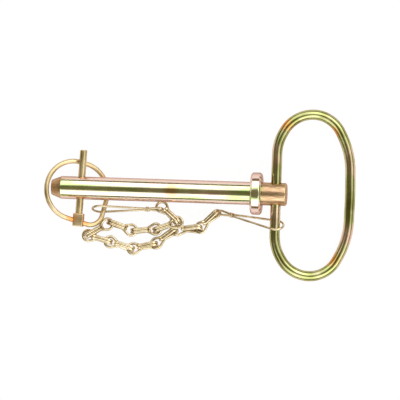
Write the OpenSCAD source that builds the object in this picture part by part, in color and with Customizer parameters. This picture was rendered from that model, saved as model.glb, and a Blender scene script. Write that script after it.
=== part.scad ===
// Drawbar pin with collar, swivel handle, captive linch pin and knotted chain.
// The bar lies along X: nose at minus X, handle at plus X, Z up.
// The origin is the centre of the collar's seat face, on the bar's axis.

/* [Bar] */
// Bar diameter
pin_d = 19; // [16:0.5:28]
// Length from the collar's seat face to the nose end
shank_len = 167; // [120:1:220]
// Length of the nose chamfer
nose_len = 8.5; // [4:0.5:12]
// Diameter of the nose end
nose_d = 12.2; // [8:0.1:16]
// Distance from the seat face to the linch pin hole
linch_x = 142.5; // [100:0.5:190]
// Diameter of the linch pin hole
linch_hole_d = 7.2; // [6:0.1:10]
// Length of the head stub beyond the collar
stub_len = 20.7; // [16:0.1:30]
// Chamfer of the stub's end
stub_chamfer = 1.2; // [0.5:0.1:3]
// Distance from the seat face to the handle's hole
handle_x = 20.6; // [16:0.1:26]

/* [Collar] */
// Collar diameter
collar_d = 35; // [28:0.5:48]
// Collar thickness
collar_t = 9; // [5:0.5:14]
// Collar edge chamfer
collar_chamfer = 1.5; // [0.5:0.1:3]

/* [Handle] */
// Diameter of the handle's bar
handle_d = 8.5; // [6:0.5:12]
// Clearance of the handle's ends in their hole, on the diameter
handle_play = 0.4; // [0.1:0.1:1]
// Reach of the handle's far side from its swivel axis
handle_reach = 61.8; // [45:0.1:80]
// Half of the handle's width at its widest, to the bar's middle
handle_half = 67; // [50:0.5:80]
// Distance from the bar's axis to the corner of the handle's first bend
handle_leg = 43; // [36:0.5:50]
// Angle of the handle below level, lying on the ground
handle_drop = 14.1; // [10:0.5:20]
// Half of the gap between the handle's two ends in the hole
handle_end = 1; // [0.5:0.1:3]

/* [Linch pin] */
// Diameter of the linch pin
linch_d = 6; // [5:0.5:8]
// Distance from the bar's axis to the tip
linch_tip = 31.7; // [26:0.1:40]
// Distance from the bar's axis to the bottom of the head
linch_bottom = 32.1; // [28:0.1:40]
// Length of the head
head_len = 10.8; // [8:0.1:14]
// Width of the head across its flats
head_w = 8.6; // [7:0.1:12]
// Lean of the linch pin in its loose hole
linch_lean = 2.6; // [0:0.1:3]

/* [Snap ring] */
// Wire diameter of the snap ring
ring_d = 4; // [3:0.1:5]
// Bend radius of the ring's round part, to the wire's middle
ring_r = 24.3; // [20:0.1:30]
// Bend radius of the ring's lower corner
ring_corner = 11; // [8:0.5:16]
// Offset of the round part along the hinge axis
ring_shift = 9.3; // [4:0.1:12]
// Straight length between the ring's two round halves
ring_flat = 1.2; // [1:0.1:5]
// Distance of the hinge axis from the bar's axis
ring_axis = 28.1; // [24:0.1:36]
// Clearance of the ring's ends in the head's bore, on the diameter
ring_play = 0.12; // [0.04:0.02:0.2]

/* [Wire connectors] */
// Wire diameter of the connectors
clip_d = 1.8; // [1.4:0.1:2.5]
// Radius of the connector's bulb, to the wire's middle
bulb_r = 6.7; // [5:0.1:8]
// Distance from the clasp to the bulb's end
bulb_len = 46; // [35:1:60]
// Radius of the connector's eye, to the wire's middle
eye_r = 3; // [2:0.1:4]
// Distance from the clasp to the eye's end
eye_len = 13; // [8:0.5:18]

/* [Chain] */
// Wire diameter of the chain
link_d = 2.3; // [1.8:0.1:3]
// Distance from the neck to the end of the wide loop
wide_len = 11.3; // [9:0.1:14]
// Radius of the wide loop's end
wide_r = 4.5; // [3.5:0.1:6]
// Distance from the neck to the end of the long loop
long_len = 14; // [11:0.1:17]
// Radius of the long loop's end
long_r = 3.6; // [3:0.1:5]
// Radius of the wrap round the neck
wrap_r = 2.2; // [1.8:0.1:3]

/* [View] */
// Number of segments of the round surfaces
facets = 32; // [24:8:96]

/* [Hidden] */
$fn = facets;

plated = [0.78, 0.66, 0.36];
handle_gold = [0.74, 0.68, 0.32];
linch_gold = [0.80, 0.68, 0.42];
wire_gold = [0.84, 0.75, 0.52];

stub_end = collar_t + stub_len;
neck_half = 1.1 * link_d / 2;

// The ground under the lying part leans a little against the bar's axis.
ground_lean = 1.45;
function ground(x) = -collar_d / 2 - (x - collar_t + collar_chamfer) * tan(ground_lean);
function above(p) = [p[0], p[1], ground(p[0]) + p[2]];

// Where one link hangs in the next: X, Y and height above the ground.
route = [
  [-28.5, -17.5, 7.5], [-43.5, -31, 6], [-63.5, -33, 4.5], [-81, -45.5, 5],
  [-99.5, -49.5, 5], [-120, -43.5, 6], [-136.5, -39.5, 5], [-118, -28, 6.5],
  [-98, -34.5, 5.5], [-77, -32, 8.5], [-61.5, -26, 10], [-77, -12, 5.5]
];
// Turn of each link about its own length
turns = [21, 30, 20, 15, 15, 5, -5, -10, -5, -5, 20];
// Where each connector's bulb and eye lie, and how far it is turned
ring_bulb = [-129, -16.5, -7.5];
ring_eye = above([-75, -14.5, 7]);
ring_turn = 45;
leg_bulb = [21, -25.5, 0];
leg_eye = above([-27.5, -16.5, 5]);
leg_turn = 56;
clasp_share = 0.775;

// A straight piece of round wire from a to b
module rod(a, b, d) {
  v = b - a;
  translate(a)
    rotate([0, acos(v[2] / norm(v)), atan2(v[1], v[0])])
      cylinder(h = norm(v), d = d);
}

// A bend of round wire in the XY plane about c, from angle a0 over angle sweep
module bend(c, r, a0, sweep, d) {
  translate([c[0], c[1], 0])
    rotate([0, 0, sweep > 0 ? a0 : a0 + sweep])
      rotate_extrude(angle = abs(sweep))
        translate([r, 0]) circle(d = d);
}

function heading(a, b) = atan2(b[1] - a[1], b[0] - a[0]);
function wrapped(a) = a > 180 ? a - 360 : a < -180 ? a + 360 : a;
function turn_at(p, i) = wrapped(heading(p[i], p[i + 1]) - heading(p[i - 1], p[i]));
function setback(p, r, i) =
  i == 0 || i == len(p) - 1 ? 0 : r[i] * abs(tan(turn_at(p, i) / 2));
function unit2(a) = [cos(a), sin(a)];

// A short band a hair over the wire closes the seam between a straight piece and a bend.
module seam(p, way, d) {
  translate([p[0], p[1], 0]) rotate([0, 0, way]) rotate([0, 90, 0])
    cylinder(h = d / 8, d = d * 1.014, center = true);
}

// Round wire along a flat line with corner points p and bend radii r
module flat_wire(p, r, d) {
  for (i = [0 : len(p) - 2]) {
    h = heading(p[i], p[i + 1]);
    a = p[i] + setback(p, r, i) * unit2(h);
    b = p[i + 1] - setback(p, r, i + 1) * unit2(h);
    if (norm(b - a) > 0.01)
      rod([a[0], a[1], 0], [b[0], b[1], 0], d);
  }
  for (i = [1 : len(p) - 2]) {
    h = heading(p[i - 1], p[i]);
    t = turn_at(p, i);
    s = t > 0 ? 1 : -1;
    start = p[i] - setback(p, r, i) * unit2(h);
    c = start + s * r[i] * unit2(h + 90);
    bend(c, r[i], h - s * 90, t, d);
    seam(start, h, d);
    seam(c + r[i] * unit2(h - s * 90 + t), h + t, d);
  }
}

// A closed end of wire: two legs from a neck to a round end at distance reach
module loop(reach, r, half, d) {
  run = reach - r;
  lean = asin(r / norm([run, half])) - atan2(half, run);
  bend([run, 0], r, -90 - lean, 180 + 2 * lean, d);
  for (s = [-1, 1]) {
    rod([0, s * half, 0], [run - r * sin(lean), s * r * cos(lean), 0], d);
    seam([run - r * sin(lean), s * r * cos(lean)], s * lean, d);
  }
}

// Puts children with their X from p to q, centred at share of the way, turned by roll
module along(p, q, share, roll) {
  v = q - p;
  translate(p + share * v)
    rotate([0, -atan2(v[2], norm([v[0], v[1]])), atan2(v[1], v[0])])
      rotate([roll, 0, 0])
        children();
}

// One knotted link: wide loop at plus X, long loop across it at minus X, wrapped neck
module link() {
  loop(wide_len, wide_r, neck_half, link_d);
  rotate([90, 0, 180]) loop(long_len, long_r, neck_half, link_d);
  for (s = [-1, 1])
    translate([s * link_d * 0.45, 0, 0]) rotate([0, 90, 0]) rotate([8, 0, 0])
      rotate_extrude() translate([wrap_r, 0]) circle(d = link_d);
}

module chain_link(i) {
  color(wire_gold)
    along(above(route[i - 1]), above(route[i]),
      0.5 + (long_len - wide_len) / 2 / norm(route[i] - route[i - 1]), turns[i - 1])
      link();
}

// One wire connector: bulb at minus X, clasp at the middle, eye at plus X
module connector() {
  half = clip_d * 0.55;
  mirror([1, 0, 0]) loop(bulb_len, bulb_r, half, clip_d);
  loop(eye_len, eye_r, half, clip_d);
  rotate([0, 90, 0]) rotate_extrude() translate([1.5, 0]) circle(d = 1.5);
}

module pin_bar() {
  color(plated) difference() {
    rotate([0, 90, 0]) rotate_extrude()
      polygon([[0, -shank_len], [nose_d / 2, -shank_len],
        [pin_d / 2, -shank_len + nose_len], [pin_d / 2, stub_end - stub_chamfer],
        [pin_d / 2 - stub_chamfer, stub_end], [0, stub_end]]);
    translate([-linch_x, pin_d, 0]) rotate([90, 0, 0])
      cylinder(h = 2 * pin_d, d = linch_hole_d);
    translate([handle_x, pin_d, 0]) rotate([90, 0, 0])
      cylinder(h = 2 * pin_d, d = handle_d + handle_play);
  }
}

module collar() {
  color(plated) rotate([0, 90, 0]) rotate_extrude()
    polygon([[pin_d / 2, 0], [collar_d / 2 - collar_chamfer, 0],
      [collar_d / 2, collar_chamfer], [collar_d / 2, collar_t - collar_chamfer],
      [collar_d / 2 - collar_chamfer, collar_t], [pin_d / 2, collar_t]]);
}

// One half of the handle's line in its own plane, from the hole to the far side
handle_side = [[0, handle_end], [0, handle_leg], [13, handle_half - 1],
  [45, handle_half + 1], [handle_reach, 36]];
handle_side_bends = [0, 34, 26, 22, 46];
handle_line = concat(handle_side,
  [for (i = [4 : -1 : 0]) [handle_side[i][0], -handle_side[i][1]]]);
handle_bends = concat(handle_side_bends,
  [for (i = [4 : -1 : 0]) handle_side_bends[i]]);

module handle() {
  color(handle_gold)
    translate([handle_x, 0, 0]) rotate([0, handle_drop, 0])
      flat_wire(handle_line, handle_bends, handle_d);
}

// The linch pin's own frame: Y from head to tip
module at_linch() {
  translate([-linch_x, 0, 0]) rotate([0, 0, -linch_lean]) children();
}

// The ring's own plane: X along the hinge axis, Y toward the linch pin's tip
module at_ring() {
  at_linch() translate([0, -ring_axis, 0])
    rotate([0, 0, -14.5]) rotate([0, 23, 0]) rotate([-12.5, 0, 0]) children();
}

module linch_pin() {
  color(linch_gold) difference() {
    union() {
      at_linch() rotate([-90, 0, 0]) translate([0, 0, -linch_bottom + head_len - 1])
        rotate_extrude()
          polygon([[0, 0], [linch_d / 2, 0],
            [linch_d / 2, linch_tip + linch_bottom - head_len + 1 - 1.6],
            [linch_d / 2 - 1.2, linch_tip + linch_bottom - head_len + 1], [0,
            linch_tip + linch_bottom - head_len + 1]]);
      at_linch() intersection() {
        translate([-head_w / 2, -linch_bottom, -head_w / 2])
          cube([head_w, head_len, head_w]);
        rotate([-90, 0, 0]) translate([0, 0, -linch_bottom]) rotate_extrude()
          polygon([[0, 0], [head_w * 0.62 - 1.2, 0], [head_w * 0.62, 1.2],
            [head_w * 0.62, head_len - 1.6], [head_w * 0.62 - 1.6, head_len],
            [0, head_len]]);
      }
    }
    at_ring() rotate([0, 90, 0])
      cylinder(h = 4 * head_w, d = ring_d + ring_play, center = true);
  }
}

ring_left = -ring_shift - ring_r;
ring_right = ring_left + 2 * ring_r + ring_flat;
ring_line = [[-0.8, 0], [ring_left, 0], [ring_left, 2 * ring_r],
  [ring_right, 2 * ring_r], [ring_right, 0], [0.8, 0]];
ring_bends = [0, ring_r, ring_r, ring_r, ring_corner, 0];

module snap_ring() {
  color(linch_gold) at_ring() flat_wire(ring_line, ring_bends, ring_d);
}

module ring_connector() {
  color(wire_gold)
    along(ring_bulb, ring_eye, clasp_share, ring_turn) connector();
}

module handle_connector() {
  color(wire_gold)
    along(leg_bulb, leg_eye, clasp_share, leg_turn) connector();
}

module chain_link_01() { chain_link(1); }
module chain_link_02() { chain_link(2); }
module chain_link_03() { chain_link(3); }
module chain_link_04() { chain_link(4); }
module chain_link_05() { chain_link(5); }
module chain_link_06() { chain_link(6); }
module chain_link_07() { chain_link(7); }
module chain_link_08() { chain_link(8); }
module chain_link_09() { chain_link(9); }
module chain_link_10() { chain_link(10); }
module chain_link_11() { chain_link(11); }

pin_bar();
collar();
handle();
linch_pin();
snap_ring();
ring_connector();
handle_connector();
chain_link_01();
chain_link_02();
chain_link_03();
chain_link_04();
chain_link_05();
chain_link_06();
chain_link_07();
chain_link_08();
chain_link_09();
chain_link_10();
chain_link_11();
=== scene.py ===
# %% [markdown]
# # A drawbar pin with its linch pin and keeper chain
# The solid model is loaded first and stays fixed. It gives every size and every
# joint. This lesson adds the camera, the light, the yellow zinc plating, and finer
# versions of the pieces that are bent from wire, which a solid model keeps plain.

# %% Load the solid model
import bpy, bmesh, math
from mathutils import Matrix, Vector


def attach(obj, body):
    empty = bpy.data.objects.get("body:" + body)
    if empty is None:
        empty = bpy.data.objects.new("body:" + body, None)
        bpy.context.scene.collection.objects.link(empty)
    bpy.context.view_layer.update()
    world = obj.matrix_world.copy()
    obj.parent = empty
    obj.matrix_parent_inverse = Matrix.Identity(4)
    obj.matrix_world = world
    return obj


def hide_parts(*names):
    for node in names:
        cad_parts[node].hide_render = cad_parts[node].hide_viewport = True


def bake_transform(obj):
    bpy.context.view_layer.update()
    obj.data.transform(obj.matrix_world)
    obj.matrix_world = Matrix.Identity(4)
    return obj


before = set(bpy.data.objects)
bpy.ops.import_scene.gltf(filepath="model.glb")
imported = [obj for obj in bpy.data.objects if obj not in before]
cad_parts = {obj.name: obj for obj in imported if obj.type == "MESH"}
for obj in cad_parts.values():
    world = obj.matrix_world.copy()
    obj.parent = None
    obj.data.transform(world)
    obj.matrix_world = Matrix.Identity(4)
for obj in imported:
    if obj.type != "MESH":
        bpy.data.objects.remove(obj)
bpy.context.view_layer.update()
MM = 0.001

# %% [markdown]
# ## The camera
# The photograph looks almost straight down on the pin, leaning a few degrees toward
# the handle, so that the collar shows its right side. The bar runs down to the right
# by less than two degrees. A long lens from far away gives the flat view of a
# catalogue picture.

# %% Camera
LEAN = math.radians(6.0)
SLOPE = math.radians(1.87)
AIM = Vector((-42.4, -6.8, 0)) * MM
DISTANCE = 2.5
VIEW_WIDTH = 0.332
right = Vector((math.cos(LEAN) * math.cos(SLOPE), math.sin(SLOPE),
                -math.sin(LEAN) * math.cos(SLOPE)))
back = Vector((math.sin(LEAN), 0, math.cos(LEAN)))
up = back.cross(right)
camera_data = bpy.data.cameras.new("catalogue_camera")
camera_data.sensor_width = 36
camera_data.lens = 36 * DISTANCE / VIEW_WIDTH
camera_data.clip_end = 20
camera = bpy.data.objects.new("catalogue_camera", camera_data)
bpy.context.scene.collection.objects.link(camera)
turn = Matrix((right, up, back)).transposed().to_4x4()
camera.matrix_world = Matrix.Translation(AIM + back * DISTANCE) @ turn
bpy.context.scene.camera = camera
print("lens:", round(camera_data.lens, 1), "mm")

# %% [markdown]
# ## The ground
# The pin lies on its collar and on the wire of the snap ring, so the ground leans a
# little against the bar's axis. The same small formula as in the solid model gives
# its height, and the floor is one large sheet at that lean. Seen by the camera it is
# white, yet it still takes the soft shadow of the metal.

# %% Ground
COLLAR_D, COLLAR_T, COLLAR_EDGE = 35, 9, 1.5
GROUND_LEAN = math.radians(1.45)


def ground(x):
    return -COLLAR_D / 2 - (x - COLLAR_T + COLLAR_EDGE) * math.tan(GROUND_LEAN)


def above(x, y, height):
    return Vector((x, y, ground(x) + height))


sheet = bmesh.new()
bmesh.ops.create_grid(sheet, x_segments=2, y_segments=2, size=3)
bmesh.ops.rotate(sheet, verts=sheet.verts, matrix=Matrix.Rotation(GROUND_LEAN, 3, "Y"))
bmesh.ops.translate(sheet, verts=sheet.verts, vec=(0, 0, (ground(0) - 0.05) * MM))
floor_mesh = bpy.data.meshes.new("floor")
sheet.to_mesh(floor_mesh)
sheet.free()
floor = bpy.data.objects.new("floor", floor_mesh)
bpy.context.scene.collection.objects.link(floor)
print("ground under the collar:", round(ground(0), 2), "mm")

# %% [markdown]
# ## Small helpers for shader nodes
# Each finish below is built from the same few nodes, so short helpers keep the cells
# readable. Each adds one node, plugs in what it is given and returns its output.

# %% Shader helpers


def new_material(name):
    material = bpy.data.materials.new(name)
    material.use_nodes = True
    material.node_tree.nodes.clear()
    return material, material.node_tree


def add(tree, kind, **values):
    node = tree.nodes.new(kind)
    for key, value in values.items():
        setattr(node, key, value)
    return node


def plug(tree, socket, value):
    """Sets a plain number, place or colour on the socket, or links an output to it."""
    if isinstance(value, tuple):
        socket.default_value = (*value, 1)[:len(socket.default_value)]
    elif isinstance(value, (int, float)):
        socket.default_value = value
    else:
        tree.links.new(value, socket)


def maths(tree, operation, *values):
    node = add(tree, "ShaderNodeMath", operation=operation)
    for socket, value in zip(node.inputs, values):
        plug(tree, socket, value)
    return node.outputs["Value"]


def vectors(tree, operation, first, second):
    node = add(tree, "ShaderNodeVectorMath", operation=operation)
    plug(tree, node.inputs[0], first)
    plug(tree, node.inputs[1], second)
    return node.outputs["Value" if operation == "DISTANCE" else "Vector"]


def spread(tree, value, start, end, low=0.0, high=1.0, **how):
    """Takes start to low and end to high, and holds those beyond them."""
    node = add(tree, "ShaderNodeMapRange", **how)
    tree.links.new(value, node.inputs["Value"])
    for name, number in (("From Min", start), ("From Max", end),
                         ("To Min", low), ("To Max", high)):
        node.inputs[name].default_value = number
    return node.outputs["Result"]


def noise(tree, place, scale, detail):
    node = add(tree, "ShaderNodeTexNoise")
    tree.links.new(place, node.inputs["Vector"])
    node.inputs["Scale"].default_value = scale
    node.inputs["Detail"].default_value = detail
    return node.outputs["Fac"]


def stretched(tree, place, scale):
    node = add(tree, "ShaderNodeMapping")
    tree.links.new(place, node.inputs["Vector"])
    node.inputs["Scale"].default_value = scale
    return node.outputs["Vector"]


def ramp(tree, source, stops):
    node = add(tree, "ShaderNodeValToRGB")
    tree.links.new(source, node.inputs["Fac"])
    while len(node.color_ramp.elements) < len(stops):
        node.color_ramp.elements.new(0.5)
    for element, (place, colour) in zip(node.color_ramp.elements, stops):
        element.position = place
        element.color = (*colour, 1)
    return node.outputs["Color"]


def mixed(tree, factor, first, second):
    """Mixes two colours."""
    node = add(tree, "ShaderNodeMix", data_type="RGBA")
    plug(tree, node.inputs["Factor"], factor)
    plug(tree, node.inputs["A"], first)
    plug(tree, node.inputs["B"], second)
    return node.outputs["Result"]


def blended(tree, factor, first, second):
    """Mixes two shaders."""
    node = add(tree, "ShaderNodeMixShader")
    tree.links.new(factor, node.inputs["Fac"])
    tree.links.new(first, node.inputs[1])
    tree.links.new(second, node.inputs[2])
    return node.outputs["Shader"]


# %% [markdown]
# ## The floor
# The floor is a matte pale sheet. To the camera it is almost clear, so the white
# paper behind it shows through and only a soft shadow of the metal is left. In the
# metal's reflections it glows a little, as a lit sheet of paper does. It casts no
# shadow and is clear from below, so a piece that swings under it stays in view.

# %% Floor finish
FLOOR_TONE, CLEAR_TO_CAMERA, GLOW_IN_METAL = (0.9, 0.9, 0.9), 0.94, 0.40
floor_paint, tree = new_material("floor_white")
out = add(tree, "ShaderNodeOutputMaterial")
matte = add(tree, "ShaderNodeBsdfDiffuse")
plug(tree, matte.inputs["Color"], FLOOR_TONE)
glow = add(tree, "ShaderNodeEmission")
clear = add(tree, "ShaderNodeBsdfTransparent").outputs["BSDF"]
ray = add(tree, "ShaderNodeLightPath").outputs
facing = add(tree, "ShaderNodeNewGeometry").outputs
in_metal = maths(tree, "MULTIPLY", ray["Is Glossy Ray"], GLOW_IN_METAL)
to_camera = maths(tree, "MULTIPLY", ray["Is Camera Ray"], CLEAR_TO_CAMERA)
surface = blended(tree, in_metal, matte.outputs["BSDF"], glow.outputs["Emission"])
surface = blended(tree, ray["Is Shadow Ray"], surface, clear)
surface = blended(tree, to_camera, surface, clear)
surface = blended(tree, facing["Backfacing"], surface, clear)
tree.links.new(surface, out.inputs["Surface"])
floor_mesh.materials.append(floor_paint)
print("floor finish:", floor_paint.name)

# %% [markdown]
# ## The light of the studio
# A plated bar is a mirror: what it shows is the room. A soft box on each side of the
# pin draws a white band along the bar, and the darker ceiling between the boxes draws
# the olive band in the middle. A third box stands past the handle, and the long ones
# fade out toward the nose. The camera sees white paper in place of the room.

# %% Studio light
SIDE_BOX, END_BOX, ROOM, PAPER = (1.9, 1.9, 1.85), (0.9, 0.9, 0.8), (0.16, 0.14, 0.07), 1.02
world = bpy.data.worlds.new("studio")
bpy.context.scene.world = world
world.use_nodes = True
tree = world.node_tree
tree.nodes.clear()
out = add(tree, "ShaderNodeOutputWorld")
where = add(tree, "ShaderNodeTexCoord").outputs["Generated"]
split = add(tree, "ShaderNodeSeparateXYZ")
tree.links.new(where, split.inputs["Vector"])
toward = split.outputs


def window(source, low, rise, high=None, fall=None):
    """1 where source lies past low, or between low and high, with soft edges."""
    stops = [(low, (0, 0, 0)), (rise, (1, 1, 1))]
    if high is not None:
        stops += [(high, (1, 1, 1)), (fall, (0, 0, 0))]
    return ramp(tree, source, stops)


def lit(rows, columns, strength):
    """A lamp where both windows are open."""
    return vectors(tree, "MULTIPLY", vectors(tree, "MULTIPLY", rows, columns), strength)


beside = maths(tree, "ABSOLUTE", toward["Y"])
side_boxes = lit(window(toward["Z"], 0.26, 0.36, 0.82, 0.93), window(beside, 0.12, 0.34), SIDE_BOX)
past_nose = spread(tree, toward["X"], -0.70, -0.30, interpolation_type="SMOOTHSTEP")
side_boxes = vectors(tree, "MULTIPLY", side_boxes, past_nose)
end_box = lit(window(toward["Z"], 0.35, 0.5, 0.84, 0.93), window(toward["X"], 0.2, 0.45), END_BOX)
room = vectors(tree, "MULTIPLY", window(toward["Z"], 0.0, 0.05), ROOM)
shell = add(tree, "ShaderNodeBackground")
tree.links.new(vectors(tree, "ADD", vectors(tree, "ADD", side_boxes, end_box), room),
               shell.inputs["Color"])
paper = add(tree, "ShaderNodeBackground")
plug(tree, paper.inputs["Color"], (1, 1, 1))
paper.inputs["Strength"].default_value = PAPER
ray = add(tree, "ShaderNodeLightPath").outputs
seen = maths(tree, "MAXIMUM", ray["Is Camera Ray"], ray["Is Transmission Ray"])
shown = blended(tree, seen, shell.outputs["Background"], paper.outputs["Background"])
tree.links.new(shown, out.inputs["Surface"])
bpy.context.scene.view_settings.view_transform = "Standard"
print("studio light is in the world:", world.name)

# %% [markdown]
# ## Yellow zinc plating
# Yellow chromate on bright zinc is a thin clear film. Its colour drifts between
# straw, green and rose with the film's thickness, and it turns orange where the bath
# has run and dried. A slow noise stretched along the piece moves through a ramp of
# those tones, and a finer noise clouds it and dulls its shine in places. The ends of
# the bar are ground, so they are duller and show streaks along the bar.

# %% Places on a piece
# The rose tone is a painted reflection, laid along the sides of a piece where a glancing
# reflection turns the metal rose.
ROSE_REFLECTION_TINT, AMBER, PALE = (0.88, 0.66, 0.60), (0.72, 0.30, 0.06), (0.90, 0.82, 0.60)
COPPER, SAND, STREAKS = (0.42, 0.26, 0.14), (0.82, 0.58, 0.38), (160, 1400, 1400)
STAIN_FADE = 2.4


def along_axis(tree, place, axis, start, end, folded=False):
    """0 before start and 1 after end along one axis of the piece, in metres."""
    parts = add(tree, "ShaderNodeSeparateXYZ")
    tree.links.new(place, parts.inputs["Vector"])
    value = parts.outputs[axis]
    if folded:
        value = maths(tree, "ABSOLUTE", value)
    return spread(tree, value, start, end)


def stained(tree, place, colour, spots, size, strength):
    """Lays a round orange stain on the colour at each spot, given in millimetres."""
    for spot in spots:
        gap = vectors(tree, "DISTANCE", place, tuple(Vector(spot) * MM))
        near = spread(tree, gap, size, size * STAIN_FADE, strength, 0.0)
        colour = mixed(tree, near, colour, AMBER)
    return colour


def streaked(tree, place):
    streaks = noise(tree, stretched(tree, place, STREAKS), 1.0, 4.0)
    return ramp(tree, streaks, [(0.36, COPPER), (0.64, SAND)])


# %% [markdown]
# Now the recipe itself. Drift is the stretch of the slow noise, cloud the scale of the
# finer one, and shine the least roughness. The rim is the metal's tone at a glancing
# angle, which draws the thin brown outline of the bar.

# %% Plating recipe
HAZE, DULLER, GROUND_DULLER, GRAIN_SCALE, GRAIN_DEPTH = 0.35, 0.12, 0.18, 900.0, 0.0002


def plating(name, tones, drift, cloud, shine, grain=0.02, spots=(), spot_size=0.004,
            spot_strength=0.85, painted_rose_reflection=None, ground_ends=None, rim=(0.95, 0.62, 0.56)):
    material, tree = new_material(name)
    out = add(tree, "ShaderNodeOutputMaterial")
    metal = add(tree, "ShaderNodeBsdfPrincipled")
    tree.links.new(metal.outputs["BSDF"], out.inputs["Surface"])
    metal.inputs["Metallic"].default_value = 1.0
    metal.inputs["Specular Tint"].default_value = (*rim, 1)
    place = add(tree, "ShaderNodeTexCoord").outputs["Object"]
    slow = noise(tree, stretched(tree, place, drift), 1.0, 3.0)
    fine = noise(tree, place, cloud, 5.0)
    haze = ramp(tree, fine, [(0.42, (0, 0, 0)), (0.70, (1, 1, 1))])
    haze = maths(tree, "MULTIPLY", haze, HAZE)
    colour = mixed(tree, haze, ramp(tree, slow, tones), PALE)
    colour = stained(tree, place, colour, spots, spot_size, spot_strength)
    roughness = spread(tree, fine, 0.3, 0.7, shine, shine + DULLER)
    # Painted reflection: the sides of the piece, away from its axis across Y, are tinted rose as a
    # glancing reflection would tint them.
    if painted_rose_reflection:
        sides = along_axis(tree, place, "Y", *painted_rose_reflection, folded=True)
        colour = mixed(tree, sides, colour, ROSE_REFLECTION_TINT)
    if ground_ends:
        near, far = ground_ends
        ends = maths(tree, "MAXIMUM", along_axis(tree, place, "X", near, near - 0.0003),
                     along_axis(tree, place, "X", far, far + 0.0005))
        colour = mixed(tree, ends, colour, streaked(tree, place))
        roughness = maths(tree, "MULTIPLY_ADD", ends, GROUND_DULLER, roughness)
    tree.links.new(colour, metal.inputs["Base Color"])
    tree.links.new(roughness, metal.inputs["Roughness"])
    bump = add(tree, "ShaderNodeBump")
    tree.links.new(noise(tree, place, GRAIN_SCALE, 2.0), bump.inputs["Height"])
    bump.inputs["Strength"].default_value = grain
    bump.inputs["Distance"].default_value = GRAIN_DEPTH
    tree.links.new(bump.outputs["Normal"], metal.inputs["Normal"])
    return material


# %% [markdown]
# ## The finishes of this pin
# The bar is palest and shiniest, with a painted rose reflection along its sides. The handle
# is a dark olive, the linch pin and its ring are a dull tan, and the wire is a pale straw.

# %% The finishes of this pin
FINISH = {
    "plated_bar": plating(
        "plated_bar",
        [(0.36, (0.52, 0.70, 0.26)), (0.45, (0.80, 0.82, 0.54)), (0.54, (0.90, 0.84, 0.66)),
         (0.64, (0.92, 0.62, 0.62))],
        drift=(22, 170, 170), cloud=70, shine=0.09, grain=0.05,
        spots=[(-66, 0.5, 9.3)], spot_size=0.0030, spot_strength=0.55,
        # painted rose reflection along the bar's sides, from 6 to 8 mm off its axis
        painted_rose_reflection=(0.0060, 0.0080), ground_ends=(-0.1586, 0.0092), rim=(0.60, 0.42, 0.36)),
    "plated_handle": plating(
        "plated_handle",
        [(0.32, (0.25, 0.23, 0.08)), (0.44, (0.32, 0.33, 0.12)), (0.54, (0.42, 0.46, 0.18)),
         (0.66, (0.76, 0.54, 0.44))],
        drift=(30, 30, 60), cloud=90, shine=0.12,
        spots=[(67, -52, -12), (65, 52, -12), (26, 58, -2)], spot_size=0.0035),
    "plated_linch": plating(
        "plated_linch",
        [(0.32, (0.50, 0.38, 0.19)), (0.5, (0.64, 0.51, 0.29)), (0.72, (0.80, 0.62, 0.44))],
        drift=(40, 40, 40), cloud=120, shine=0.33,
        spots=[(-139.5, -26, -2), (-149, -25, 2), (-121, 8, -10)], spot_size=0.003),
    "plated_wire": plating(
        "plated_wire",
        [(0.32, (0.50, 0.40, 0.24)), (0.5, (0.70, 0.61, 0.42)), (0.68, (0.84, 0.76, 0.58))],
        drift=(70, 70, 70), cloud=160, shine=0.16),
}
print("finishes:", sorted(FINISH))

# %% [markdown]
# ## A wire bender
# The handle, the snap ring, the connectors and the chain links are all round bar or
# wire, bent cold in a few straight feeds and round bends. This bender works the same
# way. It starts from one circle across the wire. A feed extrudes that circle
# straight on, and a bend spins it round the bend's centre. Every cross-section stays
# round and every bend keeps its real radius, so the metal can reflect cleanly.

# %% Bend a wire in its own plane


def heading_of(a, b):
    return math.degrees(math.atan2(b[1] - a[1], b[0] - a[0]))


def unit(angle):
    return Vector((math.cos(math.radians(angle)), math.sin(math.radians(angle)), 0))


def only(kind, items):
    return [item for item in items if isinstance(item, kind)]


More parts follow.
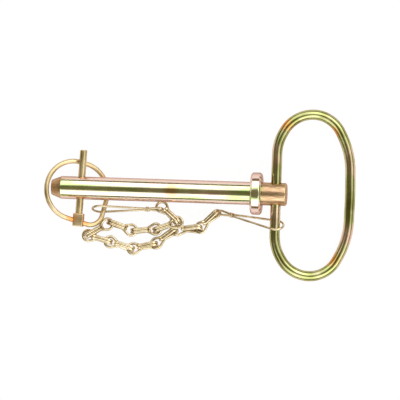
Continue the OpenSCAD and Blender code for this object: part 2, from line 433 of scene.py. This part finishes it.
def bend_wire(start, heading, moves, diameter, sides=24, step=6.0, capped=True):
    """Moves are ("feed", length), ("bend", radius, angle), the angle plus to the left,
    and ("roll", angle), which turns the wire about itself before its next bend."""
    wire = bmesh.new()
    across = Matrix.Rotation(math.radians(heading), 4, "Z") @ Matrix.Rotation(math.pi / 2, 4, "Y")
    place = Vector((start[0], start[1], 0))
    ahead, left = unit(heading), unit(heading + 90)
    bmesh.ops.create_circle(wire, segments=sides, radius=diameter / 2,
                            matrix=Matrix.Translation(place) @ across)
    if capped:
        bmesh.ops.contextual_create(wire, geom=list(wire.edges))
    front = list(wire.verts) + list(wire.edges)
    for move in moves:
        if move[0] == "roll":
            left = Matrix.Rotation(math.radians(move[1]), 3, ahead) @ left
        elif move[0] == "feed":
            if move[1] < 0.01:
                continue
            grown = bmesh.ops.extrude_edge_only(wire, edges=only(bmesh.types.BMEdge, front))
            ends = only(bmesh.types.BMVert, grown["geom"])
            bmesh.ops.translate(wire, verts=ends, vec=ahead * move[1])
            place = place + ahead * move[1]
            front = ends + [edge for edge in only(bmesh.types.BMEdge, grown["geom"])
                            if all(v in ends for v in edge.verts)]
        else:
            radius, angle = move[1], math.radians(move[2])
            side = 1 if angle > 0 else -1
            centre = place + left * radius * side
            axis = ahead.cross(left) * side
            steps = max(3, round(abs(math.degrees(angle)) / step))
            spun = bmesh.ops.spin(wire, geom=front, cent=centre, axis=axis, dvec=(0, 0, 0),
                                  angle=abs(angle), steps=steps, use_merge=False,
                                  use_duplicate=False)
            front = spun["geom_last"]
            swing = Matrix.Rotation(abs(angle), 3, axis)
            place = centre + swing @ (place - centre)
            ahead, left = swing @ ahead, swing @ left
    bmesh.ops.contextual_create(wire, geom=only(bmesh.types.BMEdge, front))
    bmesh.ops.recalc_face_normals(wire, faces=wire.faces)
    return wire


def eased(shape, edges, size, segments=4):
    """Rounds these edges over."""
    bmesh.ops.bevel(shape, geom=edges, offset=size, offset_type="OFFSET", segments=segments,
                    profile=0.5, affect="EDGES", material=-1, clamp_overlap=True)


def sharp_edges(shape, angle):
    return [edge for edge in shape.edges
            if edge.is_manifold and edge.calc_face_angle() > math.radians(angle)]


def moves_along(corners, radii):
    """The feeds and bends of a line with round corners, and its first heading."""
    turns = [0] * len(corners)
    for i in range(1, len(corners) - 1):
        turn_here = (heading_of(corners[i], corners[i + 1])
                     - heading_of(corners[i - 1], corners[i]))
        turns[i] = (turn_here + 180) % 360 - 180
    setbacks = [radius * abs(math.tan(math.radians(turn_here / 2)))
                for radius, turn_here in zip(radii, turns)]
    moves = []
    for i in range(1, len(corners)):
        run = math.dist(corners[i - 1], corners[i]) - setbacks[i - 1] - setbacks[i]
        moves.append(("feed", run))
        if i < len(corners) - 1:
            moves.append(("bend", radii[i], turns[i]))
    return heading_of(corners[0], corners[1]), moves


# %% [markdown]
# ## Setting a finished piece in place
# Every piece is drawn in millimetres on its own bench. It is then moved to its place
# in the pin, takes its finish, takes the place of the solid model's node, and rides
# on that node's body.

# %% Set a finished piece in place


def keep(bench, name, body, node, slot_name, place=Matrix.Identity(4), crease=40):
    """Makes an object of the bench's shape, moved to its place in the pin, in metres."""
    bmesh.ops.transform(bench, matrix=Matrix.Scale(MM, 4) @ place, verts=bench.verts)
    mesh = bpy.data.meshes.new(name)
    for face in bench.faces:
        face.smooth = True
    bench.to_mesh(mesh)
    bench.free()
    mesh.set_sharp_from_angle(angle=math.radians(crease))
    piece = bpy.data.objects.new(name, mesh)
    bpy.context.scene.collection.objects.link(piece)
    mesh.materials.append(FINISH[slot_name])
    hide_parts(node)
    if body:
        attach(piece, body)
    print(name, "faces:", len(mesh.polygons))
    return piece


# %% [markdown]
# ## The bar and its collar
# The bar is turned: a long plain shank, a short cone at the nose so that it finds its
# hole, and a stub behind the collar. Stacked cylinders would do it too, but their
# joints show in a mirror finish. So half of its outline is drawn once and spun round
# the axis. A few extra rings keep the long faces short near the holes. The two cross
# holes are cut afterwards with cutters of the real diameters, as a drill does.

# %% Turn the bar
SHANK_D, SHANK_LEN, NOSE_LEN, NOSE_D = 19, 167, 8.5, 12.2
STUB_LEN, STUB_EDGE = 20.7, 1.2
HANDLE_X, LINCH_X = 20.6, 142.5
HANDLE_HOLE, LINCH_HOLE = 8.9, 7.2
SHANK_RINGS = (-LINCH_X - 6, -LINCH_X + 6, -90, -45, 0, 14)


def turned(outline, segments=96, edge=0.35, sharper_than=18):
    """Spins an outline of (X, radius) points round the X axis and breaks its corners."""
    lathe = bmesh.new()
    points = [lathe.verts.new((x, 0, radius)) for x, radius in outline]
    chain = [lathe.edges.new(pair) for pair in zip(points, points[1:])]
    bmesh.ops.spin(lathe, geom=points + chain, cent=(0, 0, 0), axis=(1, 0, 0),
                   dvec=(0, 0, 0), angle=math.tau, steps=segments,
                   use_merge=True, use_duplicate=False)
    bmesh.ops.remove_doubles(lathe, verts=lathe.verts, dist=0.001)
    bmesh.ops.recalc_face_normals(lathe, faces=lathe.faces)
    eased(lathe, sharp_edges(lathe, sharper_than), edge)
    return lathe


def drilled(piece, x, diameter):
    """Drills straight through along Y."""
    bit = bmesh.new()
    across = Matrix.Translation((x, 0, 0)) @ Matrix.Rotation(math.pi / 2, 4, "X")
    bmesh.ops.create_cone(bit, cap_ends=True, segments=64, radius1=diameter / 2,
                          radius2=diameter / 2, depth=SHANK_D * 2, matrix=across)
    bmesh.ops.scale(bit, vec=(MM, MM, MM), verts=bit.verts)
    mesh = bpy.data.meshes.new("drill")
    bit.to_mesh(mesh)
    bit.free()
    drill = bpy.data.objects.new("drill", mesh)
    bpy.context.scene.collection.objects.link(drill)
    cut = piece.modifiers.new("hole", "BOOLEAN")
    cut.operation, cut.object, cut.solver = "DIFFERENCE", drill, "EXACT"
    bpy.context.view_layer.update()
    shaped = bpy.data.meshes.new_from_object(
        piece.evaluated_get(bpy.context.evaluated_depsgraph_get()))
    piece.modifiers.clear()
    piece.data = shaped
    bpy.data.objects.remove(drill)
    shaped.set_sharp_from_angle(angle=math.radians(40))


nose, stub_end = -SHANK_LEN, COLLAR_T + STUB_LEN
bar_outline = [(nose, 0), (nose, NOSE_D / 2), (nose + NOSE_LEN, SHANK_D / 2)]
bar_outline += [(x, SHANK_D / 2) for x in SHANK_RINGS]
bar_outline += [(stub_end - STUB_EDGE, SHANK_D / 2), (stub_end, SHANK_D / 2 - STUB_EDGE),
                (stub_end, 0)]
bar = keep(turned(bar_outline), "turned_bar", "bar", "pin_bar", "plated_bar")
drilled(bar, -LINCH_X, LINCH_HOLE)
drilled(bar, HANDLE_X, HANDLE_HOLE)
print("bar faces after drilling:", len(bar.data.polygons))

# %% [markdown]
# The collar is a thick ring pressed on the bar, and it stops the bar in its hole. It
# is spun like the bar, from an outline that closes on itself. Its rims are broken by
# a chamfer on each side, and the chamfer's own corners are a little soft, so that
# they catch a thin line of light.

# %% Turn the collar
COLLAR_BORE_R = SHANK_D / 2 + 0.02
collar_outline = [(0, COLLAR_BORE_R), (0, COLLAR_D / 2 - COLLAR_EDGE),
                  (COLLAR_EDGE, COLLAR_D / 2), (COLLAR_T - COLLAR_EDGE, COLLAR_D / 2),
                  (COLLAR_T, COLLAR_D / 2 - COLLAR_EDGE), (COLLAR_T, COLLAR_BORE_R),
                  (0, COLLAR_BORE_R)]
keep(turned(collar_outline), "turned_collar", "bar", "collar", "plated_bar")

# %% [markdown]
# ## The swivel handle
# One round bar is bent into a tall loop, and its two ends meet inside the stub's
# cross hole, where they turn. The corners are those of the solid model. Half of them
# are listed and the other half is their mirror. The bends are a little wider here, and
# one more corner lets the far side bow out slightly, as in the photograph.

# %% Bend the handle
HANDLE_D, HANDLE_DROP, END_EDGE = 8.5, math.radians(14.1), 0.3
HALF_LINE = [(0, 1), (0, 43), (13, 66), (45, 68), (61.8, 36)]
HALF_BENDS = [0, 36, 28, 26, 66]
FAR_SIDE, FAR_BEND = (62.6, 0), 260
handle_line = HALF_LINE + [FAR_SIDE] + [(x, -y) for x, y in reversed(HALF_LINE)]
handle_bends = HALF_BENDS + [FAR_BEND] + HALF_BENDS[::-1]
way, moves = moves_along(handle_line, handle_bends)
grip = bend_wire(handle_line[0], way, moves, HANDLE_D, sides=40, step=4.0)
eased(grip, sharp_edges(grip, 60), END_EDGE, segments=3)
at_handle = Matrix.Translation((HANDLE_X, 0, 0)) @ Matrix.Rotation(HANDLE_DROP, 4, "Y")
keep(grip, "bent_handle", "handle", "handle", "plated_handle", at_handle)

# %% [markdown]
# ## The linch pin
# A short forged pin with a squared head, which crosses the bar and keeps it from
# pulling out. The pin leans a little in its loose hole. Its stem is spun like the
# bar and then laid along Y. The head starts as a cube, its upright edges get a wide
# bevel and then all of its rims a small one, which gives the soft corners of a
# forging. The real head has a bore for the snap ring's ends. Their wire fills it, so
# here the head stays whole and the ends are sunk in it.

# %% Forge the linch pin
LINCH_D, LINCH_TIP, LINCH_BOTTOM = 6, 31.7, 32.1
TIP_LEN, TIP_STEP, TIP_EDGE = 0.6, 0.5, 0.3
HEAD_LEN, HEAD_W, HEAD_CORNER, HEAD_RIM = 10.8, 8.6, 1.0, 0.8
LINCH_LEAN = math.radians(2.6)
at_linch = Matrix.Translation((-LINCH_X, 0, 0)) @ Matrix.Rotation(-LINCH_LEAN, 4, "Z")
in_head = -LINCH_BOTTOM + HEAD_LEN - 1
stem_outline = [(in_head, 0), (in_head, LINCH_D / 2), (LINCH_TIP - TIP_LEN, LINCH_D / 2),
                (LINCH_TIP, LINCH_D / 2 - TIP_STEP), (LINCH_TIP, 0)]
stem = turned(stem_outline, segments=48, edge=TIP_EDGE)
bmesh.ops.rotate(stem, verts=stem.verts, matrix=Matrix.Rotation(math.pi / 2, 3, "Z"))
head = bmesh.new()
bmesh.ops.create_cube(head, size=1)
bmesh.ops.scale(head, verts=head.verts, vec=(HEAD_W, HEAD_LEN, HEAD_W))
bmesh.ops.translate(head, verts=head.verts, vec=(0, HEAD_LEN / 2 - LINCH_BOTTOM, 0))
uprights = [e for e in head.edges if abs((e.verts[0].co - e.verts[1].co).y) > 1]
eased(head, uprights, HEAD_CORNER)
eased(head, sharp_edges(head, 60), HEAD_RIM)
head_mesh = bpy.data.meshes.new("head")
head.to_mesh(head_mesh)
head.free()
stem.from_mesh(head_mesh)
keep(stem, "forged_linch_pin", "linch_pin", "linch_pin", "plated_linch", at_linch)

# %% [markdown]
# ## The snap ring
# Springy wire in almost a full circle. Its two short ends point at each other inside
# the head, so the ring swings over the pin's tip and holds it. It is a little wider
# here than in the solid model, as the photograph shows it, and it cuts about half a
# millimetre into the seventh link.

# %% Bend the snap ring
RING_D, RING_AXIS, RING_END = 4, 28.1, 0.8
RING_R, RING_SHIFT, RING_FLAT, RING_CORNER = 24.3, 10.5, 4.7, 11
RING_TURN, RING_TILT, RING_ROLL = map(math.radians, (-14.5, 23, -12.5))
at_ring = (at_linch @ Matrix.Translation((0, -RING_AXIS, 0))
           @ Matrix.Rotation(RING_TURN, 4, "Z") @ Matrix.Rotation(RING_TILT, 4, "Y")
           @ Matrix.Rotation(RING_ROLL, 4, "X"))
ring_left = -RING_SHIFT - RING_R
ring_right = ring_left + 2 * RING_R + RING_FLAT
ring_line = [(-RING_END, 0), (ring_left, 0), (ring_left, 2 * RING_R),
             (ring_right, 2 * RING_R), (ring_right, 0), (RING_END, 0)]
way, moves = moves_along(ring_line, [0, RING_R, RING_R, RING_R, RING_CORNER, 0])
keep(bend_wire(ring_line[0], way, moves, RING_D, sides=32, step=3.5), "bent_snap_ring",
     "snap_ring", "snap_ring", "plated_linch", at_ring)

# %% [markdown]
# ## The wire connectors
# Each end of the chain hangs on a long clip of thin wire, shaped like a drop: a round
# bulb, two wires that run together at a clasp, and a small eye for the chain. A
# curve with a bevel could give it too. The bender gives true arcs that meet the
# straight legs without a kink, and the clasp is a small spring spun with a rise.

# %% Bend the connectors
CLIP_D, BULB_R, BULB_LEN, EYE_R, EYE_LEN = 1.8, 6.7, 46, 3, 13
CLASP_SHARE, CLASP_D, CLASP_TURNS, CLASP_PITCH = 0.775, 1.3, 2.2, 1.35
CLIP_HALF = CLIP_D * 0.55


def tangent(run, radius, half):
    """The slope and length of a leg from half beside the neck to a round end."""
    slope = math.degrees(math.asin(radius / math.hypot(run, half)) - math.atan2(half, run))
    leg = math.hypot(run - radius * math.sin(math.radians(slope)),
                     radius * math.cos(math.radians(slope)) - half)
    return slope, leg


def round_end(reach, radius, half, diameter, sides=20, step=9.0):
    """Two straight legs from a neck at X = 0 to a round end at reach."""
    lean, leg = tangent(reach - radius, radius, half)
    moves = [("feed", leg), ("bend", radius, -180 - 2 * lean), ("feed", leg)]
    return bend_wire((0, half), lean, moves, diameter, sides, step)


def coil(radius, diameter, turns, pitch, sides=16):
    """A helix round the X axis, centred at X = 0."""
    spring = bmesh.new()
    bmesh.ops.create_circle(spring, segments=sides, radius=diameter / 2,
                            matrix=Matrix.Translation((-turns * pitch / 2, 0, radius))
                            @ Matrix.Rotation(math.pi / 2, 4, "X"))
    bmesh.ops.contextual_create(spring, geom=list(spring.edges))
    steps = round(turns * 28)
    spun = bmesh.ops.spin(spring, geom=list(spring.verts) + list(spring.edges),
                          cent=(0, 0, 0), axis=(1, 0, 0),
                          dvec=(turns * pitch / steps, 0, 0), angle=math.tau * turns,
                          steps=steps, use_merge=False, use_duplicate=False)
    bmesh.ops.contextual_create(spring, geom=only(bmesh.types.BMEdge, spun["geom_last"]))
    bmesh.ops.recalc_face_normals(spring, faces=spring.faces)
    return spring


def join(first, *others):
    """Puts the others' shapes into the first, each with its own place."""
    for shape, place in others:
        bmesh.ops.transform(shape, matrix=place, verts=shape.verts)
        bmesh.ops.recalc_face_normals(shape, faces=shape.faces)
        passing = bpy.data.meshes.new("passing")
        shape.to_mesh(passing)
        shape.free()
        first.from_mesh(passing)
        bpy.data.meshes.remove(passing)
    return first


def along(start, end, share, roll):
    """The place of a shape whose X runs from start to end, as in the solid model."""
    run = end - start
    rise = math.atan2(run.z, math.hypot(run.x, run.y))
    return (Matrix.Translation(start + run * share)
            @ Matrix.Rotation(math.atan2(run.y, run.x), 4, "Z")
            @ Matrix.Rotation(-rise, 4, "Y")
            @ Matrix.Rotation(math.radians(roll), 4, "X"))


def connector():
    turned_back = Matrix.Rotation(math.pi, 4, "Z")
    eye = round_end(EYE_LEN, EYE_R, CLIP_HALF, CLIP_D, step=7.5)
    bulb = round_end(BULB_LEN, BULB_R, CLIP_HALF, CLIP_D, step=6.0)
    clasp = coil(CLIP_HALF + 0.5, CLASP_D, CLASP_TURNS, CLASP_PITCH)
    return join(eye, (bulb, turned_back), (clasp, Matrix.Identity(4)))


ring_bulb, ring_eye = Vector((-129, -17, -7.5)), above(-75, -15.5, 7)
leg_bulb, leg_eye = Vector((21, -25.5, 0)), above(-27.5, -16.5, 5)
LEG_CLIP_ROLL, RING_CLIP_ROLL, BEND_FROM, BEND_TO = 56, 68, 0.45, 0.1
keep(connector(), "handle_clip", "bar", "handle_connector", "plated_wire",
     along(leg_bulb, leg_eye, CLASP_SHARE, LEG_CLIP_ROLL))
ring_clip = keep(connector(), "ring_clip", None, "ring_connector", "plated_wire",
                 along(ring_bulb, ring_eye, CLASP_SHARE, RING_CLIP_ROLL))
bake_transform(ring_clip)

# %% [markdown]
# ## The knotted chain
# A knotted link is one folded wire. From the tip of a wide loop its two legs run
# together, and each leg then goes round a long loop that stands across the wide one,
# so the long loop is of double wire. The halves are mirror images: one is bent, its
# mirror is added, and the two are joined at the wide loop's tip. Each link hangs in
# the next, so a list of the places where they hang gives the whole chain. The list
# repeats the one in the solid model. The folded wire has no room to spare on it: most
# links cut a little into the next one, and the seventh by about a millimetre at each
# end.

# %% Bend and hang the links
LINK_D, WIDE_LEN, WIDE_R, LONG_LEN, LONG_R = 2.3, 11.3, 4.5, 14, 3.6
LINK_HALF, NECK_BEND, END_TURN, END_FEED = 0.63 * LINK_D, 2.5, 40, 0.8
ROUTE = [(-28.5, -17.5, 7.5), (-43.5, -31, 6), (-63.5, -33, 4.5), (-81, -45.5, 5),
         (-99.5, -49.5, 5), (-120, -43.5, 6), (-136.5, -39.5, 5), (-118, -28, 6.5),
         (-98, -34.5, 5.5), (-77, -32, 8.5), (-61.5, -26, 10), (-77, -12, 5.5)]
TURNS = [21, 30, 20, 15, 15, 5, -5, -10, -5, -5, 20]


def knotted_link():
    """Half of the wire, from the wide loop's tip to the cut end, and its mirror image."""
    narrow, leg = tangent(WIDE_LEN - WIDE_R, WIDE_R, LINK_HALF)
    rising, upper = tangent(LONG_LEN - LONG_R, LONG_R, 0)
    falling, lower = tangent(LONG_LEN - LONG_R, LONG_R, LINK_D)
    moves = [("bend", WIDE_R, 90 + narrow), ("feed", leg), ("bend", NECK_BEND, -narrow),
             ("roll", -90), ("bend", NECK_BEND, rising), ("feed", upper - NECK_BEND),
             ("bend", LONG_R, -180 - rising - falling), ("feed", lower),
             ("bend", NECK_BEND, falling + END_TURN), ("feed", END_FEED)]
    wire = bend_wire((WIDE_LEN, 0), 90, moves, LINK_D, sides=20, step=9.0, capped=False)
    bmesh.ops.mirror(wire, geom=list(wire.verts) + list(wire.edges) + list(wire.faces),
                     axis="Y", merge_dist=0)
    seam = [v for v in wire.verts if v.co.x > WIDE_LEN / 2 and abs(v.co.y) < 0.01]
    bmesh.ops.remove_doubles(wire, verts=seam, dist=0.01)
    bmesh.ops.recalc_face_normals(wire, faces=wire.faces)
    return wire


hangs = [above(*point) for point in ROUTE]
for number, (start, end, roll) in enumerate(zip(hangs, hangs[1:], TURNS), 1):
    share = 0.5 + (LONG_LEN - WIDE_LEN) / 2 / (end - start).length
    last = number == len(TURNS)
    link = keep(knotted_link(), f"knotted_link_{number:02d}", None if last else "bar",
                f"chain_link_{number:02d}", "plated_wire", along(start, end, share, roll))
    if last:
        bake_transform(link)
print("links:", len(TURNS))
